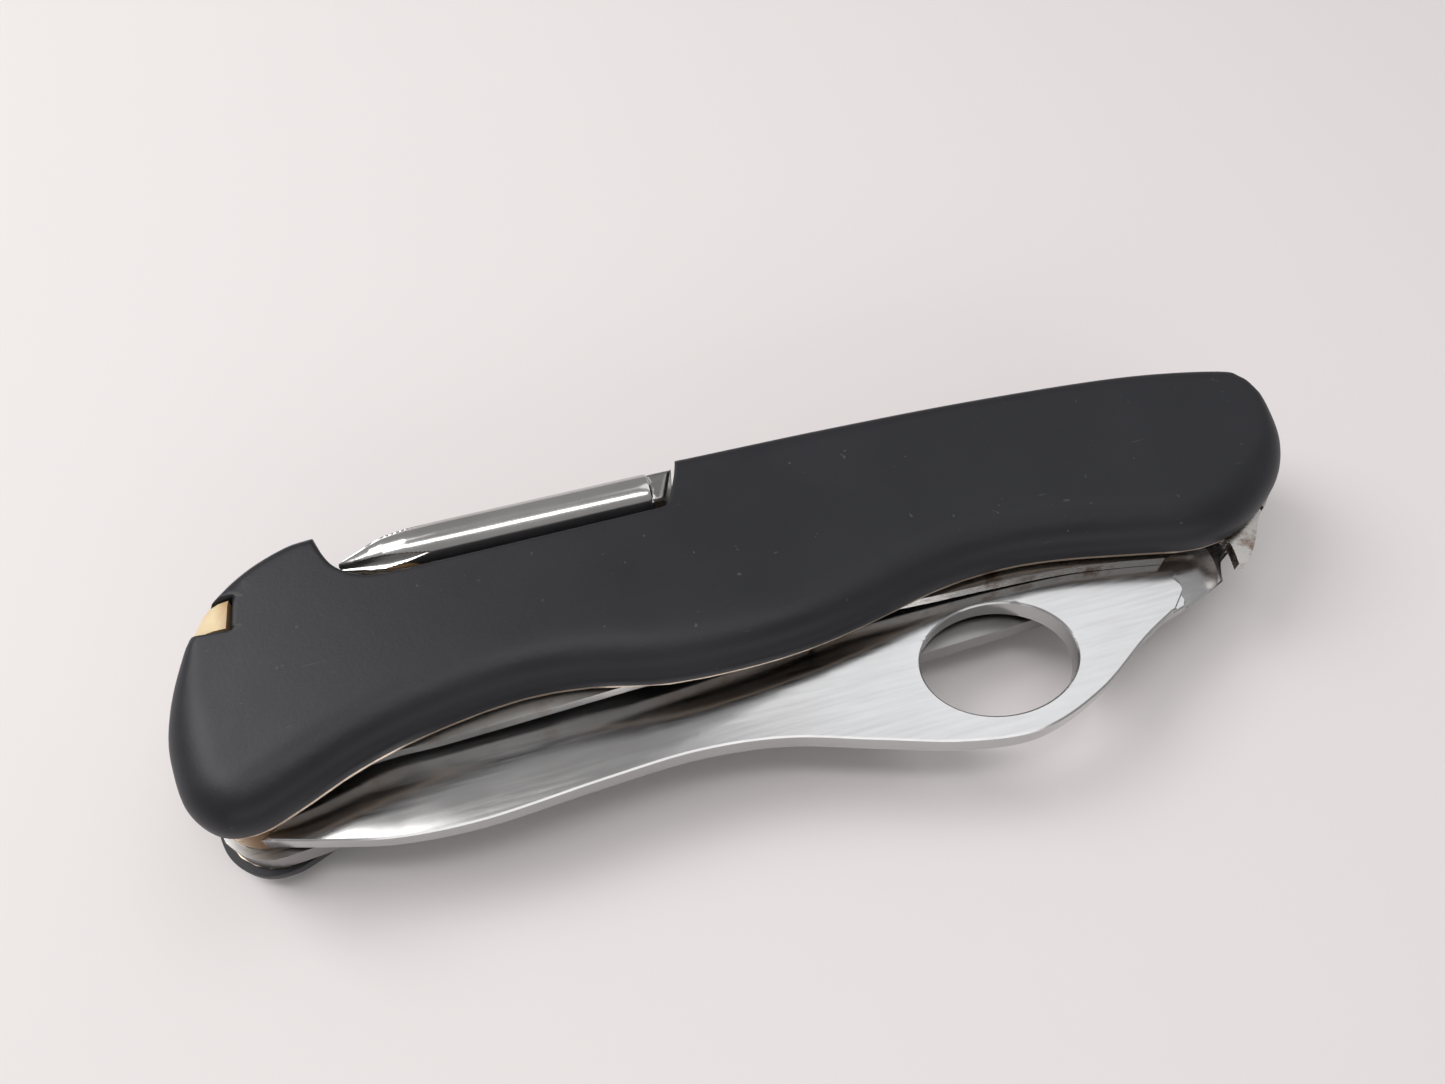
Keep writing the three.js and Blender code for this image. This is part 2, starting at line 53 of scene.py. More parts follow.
def row(x, y, z=0.0):
    return Vector(((x + SHIFT[0]) * MM, (y + SHIFT[1]) * MM, (z + SHIFT[2]) * MM))


# ---------------------------------------------------------------- materials
def new_material(name):
    mat = bpy.data.materials.new(name)
    mat.use_nodes = True
    tree = mat.node_tree
    return mat, tree, tree.nodes["Principled BSDF"]


def add_node(tree, kind, **inputs):
    node = tree.nodes.new(kind)
    for key, value in inputs.items():
        node.inputs[key.replace("_", " ")].default_value = value
    return node


def ramp(tree, source, stops):
    node = tree.nodes.new("ShaderNodeValToRGB")
    elements = node.color_ramp.elements
    while len(elements) < len(stops):
        elements.new(0.5)
    for element, (place, value) in zip(elements, stops):
        element.position = place
        element.color = value if len(value) == 4 else (*value, 1.0)
    tree.links.new(source, node.inputs["Fac"])
    return node.outputs["Color"]


def grey(value):
    return (value, value, value, 1.0)


def coords(tree, scale=(1, 1, 1), turn=0.0):
    where = tree.nodes.new("ShaderNodeTexCoord")
    mapping = tree.nodes.new("ShaderNodeMapping")
    mapping.inputs["Scale"].default_value = scale
    mapping.inputs["Rotation"].default_value = (0, 0, turn)
    tree.links.new(where.outputs["Object"], mapping.inputs["Vector"])
    return mapping.outputs["Vector"]


def noise(tree, vector, scale, detail=3.0, rough=0.5):
    node = add_node(tree, "ShaderNodeTexNoise", Scale=scale, Detail=detail, Roughness=rough)
    tree.links.new(vector, node.inputs["Vector"])
    return node.outputs["Fac"]


def mix_colour(tree, fac, a, b):
    node = tree.nodes.new("ShaderNodeMix")
    node.data_type = "RGBA"
    for socket, value in ((node.inputs[0], fac), (node.inputs[6], a), (node.inputs[7], b)):
        if hasattr(value, "is_linked") or hasattr(value, "node"):
            tree.links.new(value, socket)
        else:
            socket.default_value = value
    return node.outputs[2]


def math_node(tree, kind, a, b=None):
    node = tree.nodes.new("ShaderNodeMath")
    node.operation = kind
    for socket, value in ((node.inputs[0], a), (node.inputs[1], b)):
        if value is None:
            continue
        if hasattr(value, "node"):
            tree.links.new(value, socket)
        else:
            socket.default_value = value
    return node.outputs[0]


def bump(tree, shader, height, strength, distance, after=None):
    node = add_node(tree, "ShaderNodeBump", Strength=strength, Distance=distance)
    tree.links.new(height, node.inputs["Height"])
    if after is not None:
        tree.links.new(after, node.inputs["Normal"])
    tree.links.new(node.outputs["Normal"], shader.inputs["Normal"])
    return node.outputs["Normal"]


def nylon():
    mat, tree, shader = new_material("black_nylon")
    vector = coords(tree)
    grain = noise(tree, vector, 3800.0, 4.0, 0.6)
    cloud = noise(tree, vector, 90.0, 3.0, 0.55)
    tint = ramp(tree, cloud, [(0.3, (0.0085, 0.0090, 0.0132)), (0.7, (0.0135, 0.0140, 0.0190))])
    fleck = noise(tree, vector, 1500.0, 1.0, 0.5)
    spots = ramp(tree, fleck, [(0.735, grey(0.0)), (0.76, grey(1.0))])
    patch = ramp(tree, noise(tree, vector, 210.0, 2.0), [(0.56, grey(0.0)), (0.62, grey(0.6))])
    spots = math_node(tree, "MULTIPLY", spots, patch)
    scratch_lines = noise(tree, coords(tree, (260, 3600, 260), 0.35), 1.0, 2.0, 0.5)
    lines = ramp(tree, scratch_lines, [(0.70, grey(0.0)), (0.72, grey(1.0))])
    where = ramp(tree, noise(tree, vector, 120.0, 1.0), [(0.60, grey(0.0)), (0.64, grey(0.35))])
    lines = math_node(tree, "MULTIPLY", lines, where)
    marks = math_node(tree, "ADD", spots, lines)
    colour = mix_colour(tree, marks, tint, (0.085, 0.085, 0.09, 1.0))
    tree.links.new(colour, shader.inputs["Base Color"])
    rough = ramp(tree, cloud, [(0.25, grey(0.40)), (0.75, grey(0.50))])
    tree.links.new(rough, shader.inputs["Roughness"])
    shader.inputs["Specular IOR Level"].default_value = 0.38
    low = noise(tree, vector, 420.0, 3.0)
    first = bump(tree, shader, low, 0.25, 0.00006)
    bump(tree, shader, grain, 0.35, 0.00004, first)
    return mat


def steel(name, dark, light, roughs, along=(1, 1, 1), turn=0.0, lines=0.2, stain=None, fine=5200.0):
    mat, tree, shader = new_material(name)
    shader.inputs["Metallic"].default_value = 1.0
    vector = coords(tree)
    brushed = noise(tree, coords(tree, along, turn), fine, 3.0, 0.6)
    cloud = noise(tree, vector, 70.0, 3.0, 0.55)
    tint = ramp(tree, cloud, [(0.3, dark), (0.7, light)])
    if stain:
        where = ramp(tree, noise(tree, vector, 420.0, 4.0, 0.6), [(0.54, grey(0.0)), (0.66, grey(0.8))])
        tint = mix_colour(tree, where, tint, stain)
    tree.links.new(tint, shader.inputs["Base Color"])
    mixed = math_node(tree, "MULTIPLY", brushed, 0.6)
    mixed = math_node(tree, "ADD", mixed, math_node(tree, "MULTIPLY", cloud, 0.4))
    rough = ramp(tree, mixed, [(0.3, grey(roughs[0])), (0.7, grey(roughs[1]))])
    tree.links.new(rough, shader.inputs["Roughness"])
    bump(tree, shader, brushed, lines, 0.00001)
    return mat


def ivory():
    mat, tree, shader = new_material("ivory_plastic")
    vector = coords(tree)
    cloud = noise(tree, vector, 500.0, 3.0)
    tint = ramp(tree, cloud, [(0.3, (0.76, 0.59, 0.34)), (0.7, (0.86, 0.70, 0.44))])
    # painted shade: darker towards the end that passes under the scale into its slot
    apart = tree.nodes.new("ShaderNodeSeparateXYZ")
    tree.links.new(vector, apart.inputs[0])
    edge = ramp(tree, math_node(tree, "MULTIPLY", math_node(tree, "ADD", apart.outputs[0], 0.0510), 500.0),
                [(0.1, grey(0.0)), (0.75, grey(0.75))])
    # dark brown painted shade mixed over the ivory tint where the toothpick goes under the scale
    colour = mix_colour(tree, edge, tint, (0.40, 0.22, 0.085, 1.0))
    tree.links.new(colour, shader.inputs["Base Color"])
    rough = ramp(tree, cloud, [(0.3, grey(0.34)), (0.7, grey(0.46))])
    tree.links.new(rough, shader.inputs["Roughness"])
    shader.inputs["Subsurface Weight"].default_value = 0.15
    shader.inputs["Subsurface Scale"].default_value = 0.001
    bump(tree, shader, noise(tree, vector, 2600.0, 3.0), 0.2, 0.00002)
    return mat


def grey_plastic():
    mat, tree, shader = new_material("grey_plastic")
    vector = coords(tree)
    cloud = noise(tree, vector, 700.0, 3.0)
    tint = ramp(tree, cloud, [(0.3, (0.15, 0.155, 0.16)), (0.7, (0.21, 0.215, 0.22))])
    tree.links.new(tint, shader.inputs["Base Color"])
    rough = ramp(tree, cloud, [(0.3, grey(0.38)), (0.7, grey(0.52))])
    tree.links.new(rough, shader.inputs["Roughness"])
    bump(tree, shader, noise(tree, vector, 2600.0, 3.0), 0.2, 0.00002)
    return mat


ALONG = (0.03, 1.0, 0.5)
MATERIALS = {
    "nylon": nylon(),
    "blade_steel": steel("blade_steel", (0.50, 0.495, 0.495), (0.58, 0.58, 0.585), (0.12, 0.27),
                         (0.05, 1.0, 1.0), 1.15, 0.3, None, 2600.0),
    "liner": steel("liner_sheet", (0.44, 0.34, 0.26), (0.60, 0.50, 0.41), (0.24, 0.38), ALONG, 0.0, 0.2),
    "spring_steel": steel("spring_steel", (0.34, 0.33, 0.32), (0.45, 0.44, 0.43), (0.30, 0.42), ALONG, 0.0,
                          0.2, (0.34, 0.31, 0.285, 1.0)),
    "leaf_steel": steel("leaf_steel", (0.46, 0.44, 0.42), (0.58, 0.56, 0.54), (0.18, 0.32), ALONG, 0.0, 0.2,
                        (0.17, 0.10, 0.06, 1.0)),
    # tool steel colour is darker than the blade steel: partly the tangs' dull, rusty finish, partly painted
    # shade standing in for the shadowed floor these parts reflect
    "tool_steel": steel("tool_steel", (0.22, 0.215, 0.21), (0.34, 0.33, 0.325), (0.24, 0.38), ALONG,
                        0.1, 0.2),
    "driver_steel": steel("driver_steel", (0.46, 0.45, 0.44), (0.60, 0.595, 0.59), (0.12, 0.24),
                          (0.04, 1.0, 1.0), 0.0, 0.1),
    "brass": steel("pin_brass", (0.45, 0.30, 0.12), (0.60, 0.42, 0.18), (0.22, 0.34), (1, 1, 1), 0.0, 0.15),
    "ivory": ivory(),
    "grey_plastic": grey_plastic(),
}

SLOTS = {part["node"]: part["material_slot"] for part in frame["record"]["subparts"]}


def dress(obj, slot_name):
    obj.data.materials.clear()
    obj.data.materials.append(MATERIALS[slot_name])


def soften(obj, width=0.00010, segments=2, angle=35.0):
    bevel = obj.modifiers.new("edge", "BEVEL")
    bevel.width = width
    bevel.segments = segments
    bevel.limit_method = "ANGLE"
    bevel.angle_limit = math.radians(angle)
    bevel.harden_normals = False


def shade(mesh, angle=32.0):
    mesh.polygons.foreach_set("use_smooth", [True] * len(mesh.polygons))
    mesh.set_sharp_from_angle(angle=math.radians(angle))


for name, node in NODES.items():
    dress(node, SLOTS[name])
    shade(node.data)

for name in ("front_liner", "blade_liner", "back_liner", "blade_spring", "opener_spring", "lock_plate",
             "lock_leaf", "cap_lifter", "can_opener", "reamer", "toothpick_head", "tweezer_cap"):
    soften(NODES[name])

# ---------------------------------------------------------------- shapes, in build mm
SAME_POINT = 0.005


def catmull_rom(a, b, c, d, t):
    square = (2 * a - 5 * b + 4 * c - d) * t * t
    cube = (3 * b - a - 3 * c + d) * t ** 3
    return 0.5 * (2 * b + (c - a) * t + square + cube)


def smooth_run(points, closed=False, steps=8):
    """Catmull-Rom through the points."""
    count = len(points)
    spans = count if closed else count - 1
    out = []
    for i in range(spans):
        if closed:
            p0, p1, p2, p3 = (points[(i + k) % count] for k in (-1, 0, 1, 2))
        else:
            p0, p3 = points[max(i - 1, 0)], points[min(i + 2, count - 1)]
            p1, p2 = points[i], points[i + 1]
        for k in range(steps):
            t = k / steps
            out.append(tuple(
                catmull_rom(a, b, c, d, t)
                for a, b, c, d in zip(p0, p1, p2, p3)))
    if not closed:
        out.append(tuple(points[-1]))
    return out


def chain(groups, steps=8):
    """Closed outline from runs that meet at corners; a run of two points is a straight line."""
    out = []
    for group in groups:
        run = smooth_run(group, steps=steps) if len(group) > 2 else list(group)
        if out and math.dist(out[-1], run[0]) < SAME_POINT:
            run = run[1:]
        out += run
    if math.dist(out[0], out[-1]) < SAME_POINT:
        out.pop()
    return out


def resample(line, gap, closed=True):
    """The same line with extra points, so that no step is longer than gap."""
    ends = line + [line[0]] if closed else line
    out = []
    for a, b in zip(ends, ends[1:]):
        count = max(1, int(math.ceil(math.dist(a, b) / gap)))
        for k in range(count):
            out.append((a[0] + (b[0] - a[0]) * k / count, a[1] + (b[1] - a[1]) * k / count))
    return out


def ccw(line):
    """The closed line turned so that it runs counter-clockwise."""
    double_area = sum(a[0] * b[1] - b[0] * a[1] for a, b in zip(line, line[1:] + line[:1]))
    return line if double_area > 0 else line[::-1]


def offset_line(line, amount):
    """Points moved inwards, to the left of a counter-clockwise line."""
    out = []
    count = len(line)
    for i in range(count):
        a, b = line[i - 1], line[(i + 1) % count]
        dx, dy = b[0] - a[0], b[1] - a[1]
        length = math.hypot(dx, dy) or 1.0
        out.append((line[i][0] - dy / length * amount, line[i][1] + dx / length * amount))
    return out


def there_and_back(line):
    """An open line as a closed one, for its distance."""
    return list(line) + list(line)[::-1]


class Region:
    """Inside test and distance for one closed line, for arrays of points."""

    BATCH = 2000

    def __init__(self, line):
        self.line = np.array(line)
        self.next = np.roll(self.line, -1, axis=0)

    def inside(self, points):
        x, y = points[:, 0][:, None], points[:, 1][:, None]
        ax, ay = self.line[:, 0], self.line[:, 1]
        bx, by = self.next[:, 0], self.next[:, 1]
        rise = np.where(by == ay, 1e-12, by - ay)
        cross = ((ay > y) != (by > y)) & (x < (bx - ax) * (y - ay) / rise + ax)
        return cross.sum(axis=1) % 2 == 1

    def distance(self, points):
        out = np.empty(len(points))
        edge = self.next - self.line
        square = (edge ** 2).sum(axis=1) + 1e-12
        for start in range(0, len(points), self.BATCH):
            end = start + self.BATCH
            p = points[start:end, None, :] - self.line[None]
            t = np.clip((p * edge).sum(axis=2) / square, 0, 1)
            out[start:end] = np.sqrt(((p - t[..., None] * edge) ** 2).sum(axis=2)).min(axis=1)
        return out


RING_SHARE = 0.93
CREASE_CLEAR = 0.10


def inner_points(contour, cuts, rings, grid):
    """Points on rings inside every edge and on a staggered grid, and how far each must be from an edge."""
    extra, least = [], []
    for ring in rings:
        line = offset_line(contour, ring)
        for cut in cuts:
            line += offset_line(ccw(cut), -ring)
        extra += line
        least += [ring * RING_SHARE] * len(line)
    corners = np.array(contour)
    low, high = corners.min(axis=0), corners.max(axis=0)
    rows = int((high[1] - low[1]) / grid) + 1
    columns = int((high[0] - low[0]) / grid) + 1
    for j in range(rows + 1):
        shift = grid / 2 if j % 2 else 0.0
        extra += [(low[0] + shift + i * grid, low[1] + j * grid) for i in range(columns)]
    least += [rings[-1] + grid * 0.25] * (len(extra) - len(least))
    return np.array(extra), np.array(least)


def flat_mesh(contour, cuts, rings, grid, creases):
    """Triangles over the contour without its cuts, with edges along the creases."""
    outer = Region(contour)
    holes = [Region(ccw(cut)) for cut in cuts]
    points, edges = [], []
    for loop in [contour] + [ccw(cut) for cut in cuts]:
        first, count = len(points), len(loop)
        points.extend(loop)
        edges.extend((first + i, first + (i + 1) % count) for i in range(count))
    extra, least = inner_points(contour, cuts, rings, grid)
    keep = outer.inside(extra) & (outer.distance(extra) > least)
    for hole in holes:
        keep &= ~hole.inside(extra) & (hole.distance(extra) > least)
    for crease in creases:
        keep &= Region(there_and_back(crease)).distance(extra) > CREASE_CLEAR
        first = len(points)
        points.extend(crease)
        edges.extend((first + i, first + i + 1) for i in range(len(crease) - 1))
    points.extend(map(tuple, extra[keep]))
    found = delaunay_2d_cdt([Vector(p) for p in points], edges, [], 0, 1e-5, False)
    verts = np.array([tuple(v) for v in found[0]])
    faces = np.array([f for f in found[2] if len(f) == 3])
    centres = verts[faces].mean(axis=1)
    good = outer.inside(centres)
    for hole in holes:
        good &= ~hole.inside(centres)
    faces = faces[good]
    used = np.unique(faces)
    index = -np.ones(len(verts), int)
    index[used] = np.arange(len(used))
    return verts[used], index[faces]


def wind_upwards(verts, faces):
    a, b, c = (verts[faces[:, k]] for k in range(3))
    ab, ac = b - a, c - a
    flip = ab[:, 0] * ac[:, 1] - ac[:, 0] * ab[:, 1] < 0
    faces[flip] = faces[flip][:, ::-1]


def slab(name, contour, cuts, heights, rings, grid, body, slot_name, replaced, angle=40.0, creases=()):
    """Solid piece between two height functions (bottom, top) over an outline with cuts."""
    verts, faces = flat_mesh(contour, cuts, rings, grid, creases)
    wind_upwards(verts, faces)
    count = len(verts)
    bottom, top = heights
    solid = [row(x, y, z) for (x, y), z in zip(verts, top(verts))]
    solid += [row(x, y, z) for (x, y), z in zip(verts, bottom(verts))]
    directed = set()
    for a, b, c in faces.tolist():
        directed.update(((a, b), (b, c), (c, a)))
    walls = [(j, i, i + count, j + count) for i, j in directed if (j, i) not in directed]
    polygons = [tuple(face) for face in faces.tolist()]
    polygons += [tuple(v + count for v in face[::-1]) for face in faces.tolist()]
    polygons += sorted(walls)
    mesh = bpy.data.meshes.new(name)
    mesh.from_pydata(solid, [], polygons)
    mesh.validate()
    return finish_piece(name, mesh, body, slot_name, replaced, angle)


def finish_piece(name, mesh, body, slot_name, replaced, angle):
    obj = bpy.data.objects.new(name, mesh)
    bpy.context.scene.collection.objects.link(obj)
    shade(mesh, angle)
    dress(obj, slot_name)
    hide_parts(replaced)
    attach(obj, body)
    return obj


# ---------------------------------------------------------------- scales
LOWER_EDGE = [
    (-55.5, -0.8), (-55.3, -4.2), (-54.1, -8.6), (-51.6, -11.3), (-48.6, -11.8), (-45.3, -10.7),
    (-40.0, -8.4), (-34.0, -6.75), (-26.2, -5.7), (-19.7, -6.1), (-12.4, -7.75), (-5.0, -8.2),
    (1.5, -7.9), (8.0, -6.8), (15.5, -5.2), (22.0, -4.8), (28.1, -5.4), (35.2, -6.8),
    (41.0, -7.9), (45.4, -7.4), (49.4, -5.6), (53.0, -2.8), (55.2, 0.5),
]
UPPER_EDGE = [
    (56.0, 4.0), (55.9, 6.9), (55.1, 9.1), (52.6, 10.8), (42.0, 12.9), (25.8, 14.2), (10.0, 14.8),
    (-5.2, 15.05), (-24.0, 15.4), (-36.0, 15.55), (-41.9, 15.5), (-44.6, 15.0), (-48.1, 13.3),
    (-51.1, 10.7), (-53.2, 7.4), (-54.8, 3.2),
]
SCALE_T = 3.8
DRIVER_NOTCH = [
    [(-5.5, 17), (-5.75, 14.6), (-6.3, 12.6), (-7.0, 10.9), (-7.7, 9.4)],
    [(-7.7, 9.4), (-8.1, 9.0), (-8.6, 8.9)],
    [(-8.6, 8.9), (-33.0, 8.7)],
    [(-33.0, 8.7), (-36.6, 9.0), (-39.4, 10.7), (-40.9, 13.5), (-41.9, 17)],
    [(-41.9, 17), (-5.5, 17)],
]
REAMER_NOTCH = [
    [(2.0, 17), (3.0, 13.0), (5.6, 10.8), (9.0, 10.2)],
    [(9.0, 10.2), (30.0, 9.6)],
    [(30.0, 9.6), (34.0, 9.9), (36.6, 11.4), (38.4, 17)],
    [(38.4, 17), (2.0, 17)],
]


def strip_outline(a, b, width):
    """Straight strip from a to b."""
    dx, dy = b[0] - a[0], b[1] - a[1]
    length = math.hypot(dx, dy)
    nx, ny = -dy / length * width / 2, dx / length * width / 2
    return [(a[0] + nx, a[1] + ny), (b[0] + nx, b[1] + ny), (b[0] - nx, b[1] - ny), (a[0] - nx, a[1] - ny)]


RIM = 0.35
NOTCH_ROUND = 0.32
BACK_REACH, FRONT_REACH = 1.7, 4.4
REACH_FROM_Y, REACH_TO_Y = 6.0, -2.0
ROUND_POWER = 0.96
THINNEST = 0.1
SCALE_RINGS = (0.04, 0.11, 0.22, 0.38, 0.6, 0.9, 1.3, 1.8)


def scale_contour(sag):
    """The scale's outline; sag lowers the edge round the tools' pivot."""
    lower = [(x, y - sag) if y < -6 and x < -38 else (x, y) for x, y in LOWER_EDGE]
    line = ccw(resample(smooth_run(lower + UPPER_EDGE, closed=True, steps=10), 0.45))
    return offset_line(line, 0.03)


def pocket_height(start, end, width, depth):
    """Height above the liner side of a pocket for a slim tool, and the lines where its walls stand."""
    lip = strip_outline(start, end, width + 0.1)
    ceiling = strip_outline((start[0] - 0.08, start[1]), end, width - 0.06)
    room = Region(ccw(lip))

    def height(points):
        return depth * np.clip(room.distance(points) / 0.07, 0, 1) * room.inside(points)

    creases = [resample(line, 0.8) + [line[0]] for line in (lip, ceiling)]
    return height, creases


def scale_skin(name, side, base, notch, slot_line, pocket, sag, replaced):
    """Rounded scale; side is 1 for the front scale and -1 for the back one."""
    contour = scale_contour(sag)
    cuts = [resample(chain(notch, 10), 0.4), resample(slot_line, 0.35)]
    outline = Region(contour)
    holes = [Region(ccw(cut)) for cut in cuts]
    hollow, creases = pocket_height(*pocket)

    def outside(points):
        lower = np.clip((REACH_FROM_Y - points[:, 1]) / (REACH_FROM_Y - REACH_TO_Y), 0, 1)
        reach = BACK_REACH + (FRONT_REACH - BACK_REACH) * lower
        part = np.clip(outline.distance(points) / reach, 0, 1)
        arch = np.sqrt(np.clip(1 - (1 - part) ** 2, 0, 1)) ** ROUND_POWER
        height = RIM + (SCALE_T - RIM) * arch
        for hole in holes:
            gap = NOTCH_ROUND - np.clip(hole.distance(points), 0, NOTCH_ROUND)
            arc = np.sqrt(np.clip(NOTCH_ROUND ** 2 - gap ** 2, 0, None))
            height = np.minimum(height, SCALE_T - NOTCH_ROUND + arc)
        return base + side * np.clip(height, THINNEST, None)

    def liner_side(points):
        return base + side * hollow(points)

    heights = (liner_side, outside) if side > 0 else (outside, liner_side)
    return slab(name, contour, cuts, heights, SCALE_RINGS, 0.75, "handle", "nylon", replaced, 50.0, creases)


FRONT_BASE, BACK_BASE = 0.0, -8.05
BACK_SAG = 0.8
# pockets: inner end, outer end, width, depth
PICK_POCKET = ((-10.0, 5.53), (-50.0, 8.33), 3.1, 1.55)
TWEEZER_POCKET = ((-8.0, 3.6), (-50.0, 8.12), 3.3, 1.9)
PICK_SLOT = strip_outline((-48.85, 8.25), (-60.0, 9.03), 3.5)
TWEEZER_SLOT = strip_outline((-48.9, 8.0), (-60.0, 9.2), 3.7)
scale_skin("front_scale_skin", 1, FRONT_BASE, DRIVER_NOTCH, PICK_SLOT, PICK_POCKET, 0.0, "front_scale")
scale_skin("back_scale_skin", -1, BACK_BASE, REAMER_NOTCH, TWEEZER_SLOT, TWEEZER_POCKET, BACK_SAG,
           "back_scale")

# ---------------------------------------------------------------- blade
BX, BY = 48.5, -1.5
BORE_R = 1.55
BLADE_MID = -3.5
BLADE_HALF = 1.2
POINT_THINNER = 0.22
CUTTING_HALF = 0.12
CHAMFER = 0.16
TANG_DROP = 0.75
FINGER_HOLE = (18.7, -12.6, 7.7, 5.8)
SPINE = [
    (-49.3, -11.3), (-43.8, -12.9), (-37.7, -14.3), (-30.2, -14.75), (-20.0, -14.1), (-11.0, -13.8),
    (-3.0, -14.8), (5.0, -17.3), (12.5, -19.6), (19.6, -20.4), (26.5, -18.3), (33.0, -14.5), (36.9, -12.6),
]
EDGE = [(33.0, 1.2), (20.0, 1.7), (0.0, 1.7), (-18.0, 1.1), (-30.0, -1.2), (-39.0, -4.9), (-45.0, -8.6),
        (-49.3, -11.3)]
BLADE_LINE = [
    SPINE,
    [(36.9, -12.6), (40.5, -11.7), (44.3, -10.3)],
    [(44.3, -10.3), (44.7, -9.3), (45.3, -8.2), (46.6, -7.0)],
    [(46.6, -7.0), (47.4, -5.6), (BX + 1.8, BY - 3.6), (BX + 3.8, BY - 1.4), (BX + 4.4, BY + 1.4),
     (BX + 2.4, BY + 4.6), (BX - 1.6, BY + 5.2), (BX - 5.5, BY + 4.4)],
    [(BX - 5.5, BY + 4.4), (38.0, 1.4), (36.4, -1.2), (33.8, -1.0), (33.0, 1.2)],
    EDGE,
]

# the ground face starts on this line: along the spine, then across to the finger hole
GRIND = [(-52.0, -11.2), (-49.3, -11.6), (-43.8, -13.2), (-37.7, -14.6), (-30.2, -15.05), (-20.0, -14.3),
         (-17.0, -13.95), (-14.6, -13.6), (-13.4, -13.2), (-12.6, -12.9), (-10.6, -12.5), (-5.5, -11.55),
         (-0.5, -10.6), (6.0, -9.75), (10.6, -9.2), (12.2, -8.9), (17.0, -8.0), (24.0, -7.3), (32.0, -6.9),
         (39.2, -7.0)]
# the tang is lower than the blade's face: top and foot of the step between them
TANG_EDGE = [(36.4, -13.3), (37.3, -12.3), (39.44, -10.26), (38.9, -7.2), (38.6, -3.0), (38.4, 1.0)]
TANG_FOOT = [(36.55, -13.4), (37.45, -12.46), (39.68, -10.34), (39.12, -7.17), (38.82, -3.0),
             (38.62, 1.0)]


def ellipse(x, y, rx, ry, count):
    turns = [2 * math.pi * i / count for i in range(count)]
    return [(x + rx * math.cos(turn), y + ry * math.sin(turn)) for turn in turns]


def ramp_up(value, start, end):
    """Smooth step from 0 to 1."""
    t = np.clip((value - start) / (end - start), 0, 1)
    return t * t * (3 - 2 * t)


def ground_fall(points):
    """How far the ground face lies below the flat one; its slope grows away from the grind line."""
    reach = np.linspace(0.0, 30.0, 301)
    slope = 0.048 + (0.180 - 0.048) * ramp_up(reach, 0.0, 2.8)
    fall = np.concatenate([[0.0], np.cumsum(slope[:-1] * np.diff(reach))])
    flat_side = Region(GRIND + [(GRIND[-1][0], -40.0), (GRIND[0][0], -40.0)])
    away = Region(there_and_back(GRIND)).distance(points)
    return np.interp(np.where(flat_side.inside(points), 0.0, away), reach, fall)


def tang_fall(points):
    tang_side = Region(TANG_EDGE + [(60.0, 10.0), (60.0, -16.0)])
    away = Region(there_and_back(TANG_EDGE)).distance(points)
    return tang_side.inside(points) * TANG_DROP * np.clip(away / 0.22, 0, 1)


def blade_skin():
    contour = ccw(resample(chain(BLADE_LINE, 10), 0.5))
    hole = ellipse(*FINGER_HOLE, 96)
    bore = ellipse(BX, BY, BORE_R, BORE_R, 40)
    outline, eye = Region(contour), Region(hole)
    cutting = Region(there_and_back(smooth_run(EDGE, steps=12)))

    def half(points):
        full = BLADE_HALF - POINT_THINNER * ramp_up(-points[:, 0], 5.0, 52.0)
        return np.maximum(full - ground_fall(points), CUTTING_HALF)

    def chamfer(points):
        near = np.minimum(outline.distance(points), eye.distance(points))
        cut = CHAMFER * np.clip(1 - near / CHAMFER, 0, 1)
        return cut * np.clip(cutting.distance(points) / 0.8, 0, 1)

    def top(points):
        return BLADE_MID + half(points) - chamfer(points) - tang_fall(points)

    def bottom(points):
        return BLADE_MID - half(points) + chamfer(points)

    creases = [resample(TANG_EDGE[1:], 0.3, False), resample(TANG_FOOT[1:], 0.3, False),
               resample(GRIND[9:-2], 0.6, False)]
    rings = (0.055, 0.11, 0.165, 0.3, 0.6)
    return slab("blade_skin", contour, [hole, bore], (bottom, top), rings, 0.8, "blade_body", "blade_steel",
                "blade", 24.0, creases)


blade_skin()

# ---------------------------------------------------------------- cross-head driver
DRIVER_Y, DRIVER_Z, DRIVER_R = 13.05, -0.1, 2.4
BACK_PIVOT = (-0.9, 10.4)
CONE_X, TIP_X, FLUTE_X = -30.0, -39.8, -30.9
FLUTE_SLOPE = 2.1 / 8.9
AROUND = 192


def driver_stations():
    """Places along the shaft and the radius at each: rounded end, round shank, short blunt cone."""
    stations = [(-8.7, 1.7), (-8.75, 2.2), (-8.9, 2.35), (-9.1, DRIVER_R)]
    stations += [(-10.0 - i, DRIVER_R) for i in range(20)]
    places = (-CONE_X, 33.0, 35.3, 36.6, 38.3, -TIP_X)
    radii = (DRIVER_R, 2.34, 2.12, 1.75, 1.05, 0.5)
    for i in range(101):
        x = CONE_X + (TIP_X - CONE_X) * i / 100
        stations.append((x, float(np.interp(-x, places, radii))))
    return stations


def driver_ring(x, radius):
    """One cross-section: a circle with four square-cornered flutes that deepen towards the tip."""
    valley = DRIVER_R - max(0.0, FLUTE_X - x) * FLUTE_SLOPE
    ring = []
    for k in range(AROUND):
        angle = 2 * math.pi * k / AROUND
        off = angle % (math.pi / 2) - math.pi / 4
        spread = math.cos(off) - abs(math.sin(off))
        fluted = spread > 0.02 and x < FLUTE_X
        r = min(radius, valley / spread) if fluted else radius
        ring.append(row(x, DRIVER_Y + r * math.cos(angle), DRIVER_Z + r * math.sin(angle)))
    return ring


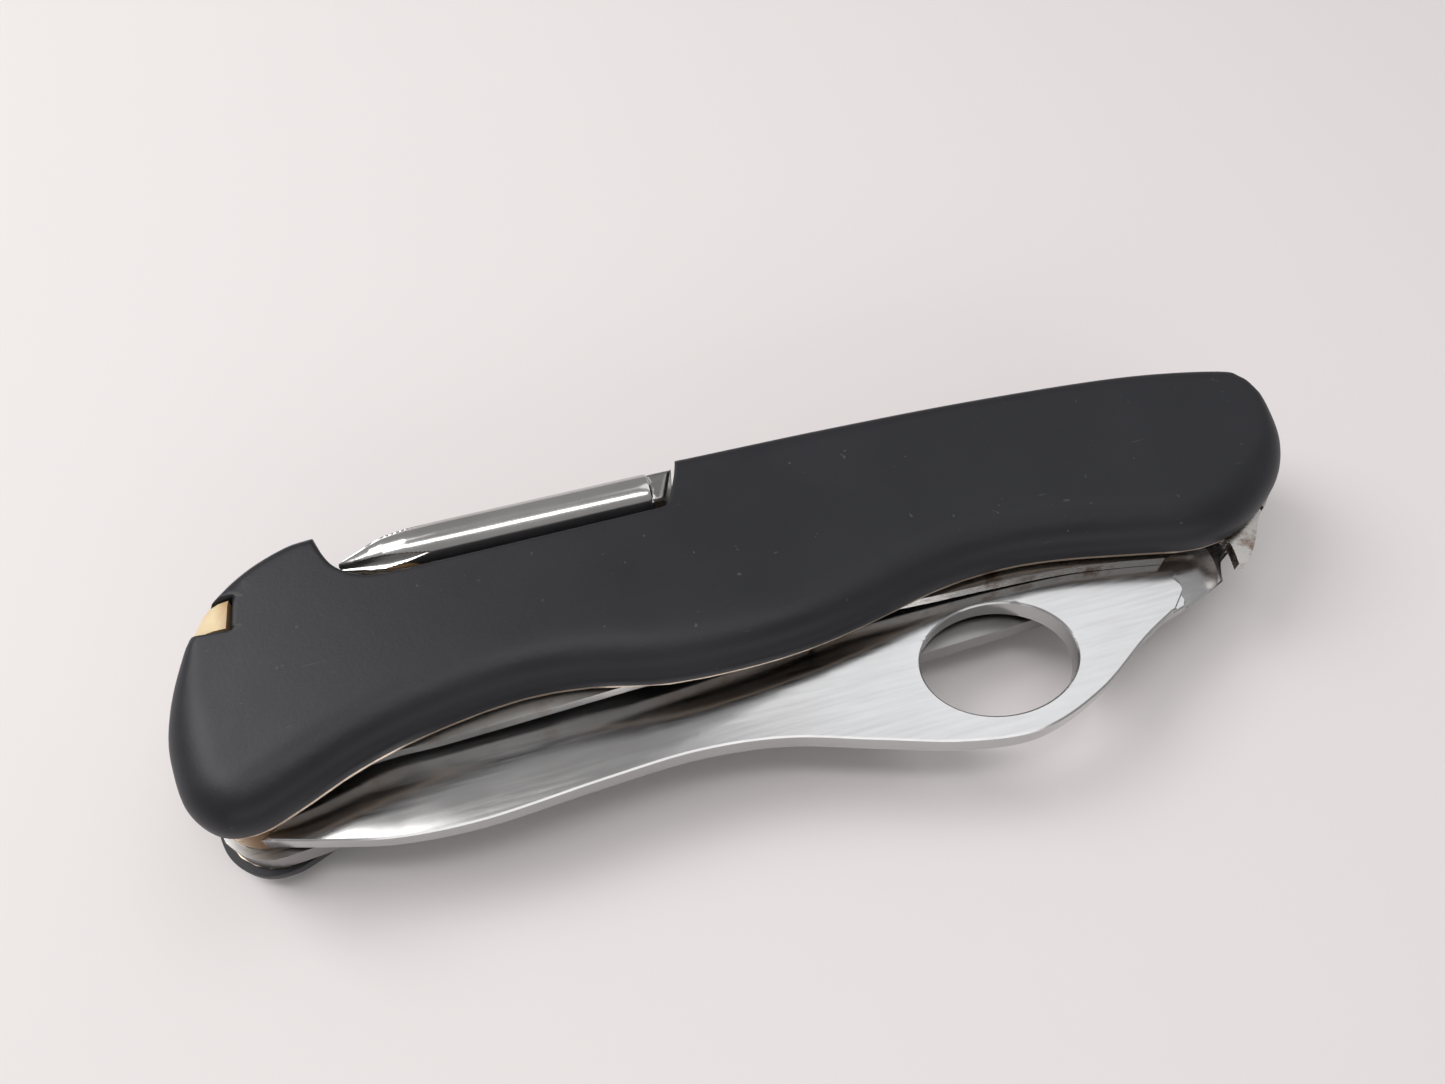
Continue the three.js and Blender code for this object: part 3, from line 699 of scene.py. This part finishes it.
def driver_shaft():
    stations = driver_stations()
    verts = [vert for station in stations for vert in driver_ring(*station)]
    faces = []
    for s in range(len(stations) - 1):
        for k in range(AROUND):
            a, b = s * AROUND + k, s * AROUND + (k + 1) % AROUND
            faces.append((a, b, b + AROUND, a + AROUND))
    last = (len(stations) - 1) * AROUND
    block_end, tip_end = len(verts), len(verts) + 1
    verts.append(row(stations[0][0], DRIVER_Y, DRIVER_Z))
    verts.append(row(stations[-1][0] - 0.05, DRIVER_Y, DRIVER_Z))
    for k in range(AROUND):
        faces.append((block_end, (k + 1) % AROUND, k))
        faces.append((tip_end, last + k, last + (k + 1) % AROUND))
    mesh = bpy.data.meshes.new("driver_shaft")
    mesh.from_pydata(verts, [], faces)
    tool = bmesh.new()
    tool.from_mesh(mesh)
    bmesh.ops.recalc_face_normals(tool, faces=tool.faces)
    tool.to_mesh(mesh)
    tool.free()
    return finish_piece("driver_shaft", mesh, "driver_body", "driver_steel", "cross_driver", 22.0)


def chamfered(low, high, lines, width):
    """Height functions (bottom, top) of a flat plate with a chamfer along the lines."""
    regions = [Region(line) for line in lines]

    def drop(points):
        near = np.min([region.distance(points) for region in regions], axis=0)
        return width * np.clip(1 - near / width, 0, 1)

    return (lambda points: low + drop(points)), (lambda points: high - drop(points))


def driver_block():
    corners = [(-8.95, 11.4), (-8.75, 11.2), (-7.8, 11.2), (-7.55, 11.4), (-6.35, 14.4), (-6.45, 14.6),
               (-8.75, 14.6), (-8.95, 14.4)]
    line = ccw(resample(smooth_run(corners, closed=True, steps=5), 0.3))
    heights = chamfered(-4.6, 1.75, [line], 0.25)
    return slab("driver_block", line, [], heights, (0.08, 0.17, 0.27), 0.5, "driver_body", "tool_steel",
                "cross_driver")


def driver_tang():
    px, py = BACK_PIVOT
    line = ccw(resample(chain([
        [(px - 1.0, py + 3.1), (-4.6, 14.9)],
        [(-4.6, 14.9), (-6.4, 15.1)],
        [(-6.4, 15.1), (-8.9, 14.8)],
        [(-8.9, 14.8), (-8.9, 11.2)],
        [(-8.9, 11.2), (-6.2, 10.6), (px - 3.2, py - 0.6), (px - 1.8, py - 2.7), (px + 0.8, py - 3.1),
         (px + 3.0, py - 1.2), (px + 2.7, py + 1.8), (px + 0.6, py + 3.2), (px - 1.0, py + 3.1)],
    ]), 0.4))
    bore = ellipse(px, py, BORE_R, BORE_R, 36)
    heights = chamfered(-4.65, -2.32, [line, bore], 0.12)
    return slab("driver_tang", line, [bore], heights, (0.06, 0.13), 0.8, "driver_body", "tool_steel",
                "cross_driver")


driver_shaft()
driver_block()
driver_tang()

# ---------------------------------------------------------------- stage
FLOOR_HALF = 3.0
FLOOR_GAP = 0.00002


def pale_floor():
    mat, _, shader = new_material("pale_table")
    shader.inputs["Base Color"].default_value = (0.80, 0.765, 0.765, 1.0)
    shader.inputs["Roughness"].default_value = 0.6
    shader.inputs["Specular IOR Level"].default_value = 0.25
    mesh = bpy.data.meshes.new("floor")
    corners = [(x * FLOOR_HALF, y * FLOOR_HALF, 0) for x, y in ((-1, -1), (1, -1), (1, 1), (-1, 1))]
    mesh.from_pydata(corners, [], [(0, 1, 2, 3)])
    mesh.materials.append(mat)
    obj = bpy.data.objects.new("floor", mesh)
    bpy.context.scene.collection.objects.link(obj)
    obj.location.z = -FLOOR_GAP
    return obj


floor = pale_floor()

world = bpy.data.worlds.new("studio")
bpy.context.scene.world = world
world.use_nodes = True
background = world.node_tree.nodes["Background"]
background.inputs["Color"].default_value = (1.0, 0.985, 0.98, 1.0)
background.inputs["Strength"].default_value = 0.385


def area_light(name, place, aim, size, power, colour=(1, 1, 1)):
    data = bpy.data.lights.new(name, "AREA")
    data.shape = "RECTANGLE"
    data.size, data.size_y = size
    data.energy = power
    data.color = colour
    obj = bpy.data.objects.new(name, data)
    bpy.context.scene.collection.objects.link(obj)
    obj.location = place
    obj.rotation_mode = "QUATERNION"
    obj.rotation_quaternion = (Vector(aim) - Vector(place)).to_track_quat("-Z", "Y")
    return obj


area_light("front_fill", (0.0, -0.60, 0.28), (0, 0, 0), (0.80, 0.18), 0.62, (1.0, 0.985, 0.98))
area_light("overhead", (-0.35, 0.26, 0.48), (-0.08, 0.08, 0), (0.34, 0.34), 1.95, (1.0, 0.985, 0.97))
area_light("right_panel", (0.22, 0.19, 0.50), (0.02, 0, 0), (0.34, 0.24), 0.26, (0.97, 0.985, 1.0))
area_light("top_strip", (-0.06, -0.05, 0.60), (-0.03, 0.02, 0), (0.50, 0.10), 0.82, (1.0, 0.99, 0.98))

# ---------------------------------------------------------------- camera
camera_data = bpy.data.cameras.new("camera")
camera = bpy.data.objects.new("camera", camera_data)
bpy.context.scene.collection.objects.link(camera)
camera_data.sensor_width = 36.0
camera_data.lens = 27.08
camera_data.clip_start = 0.005
right = Vector((0.9613, -0.2756, 0.0)).normalized()
back = Vector((-0.1521, -0.5305, 0.8339)).normalized()
up = back.cross(right).normalized()
turn = Matrix((right, up, back)).transposed().to_4x4()
camera.matrix_world = Matrix.Translation((-0.01985, -0.04872, 0.10119)) @ turn
bpy.context.scene.camera = camera
bpy.context.scene.view_settings.view_transform = "Standard"
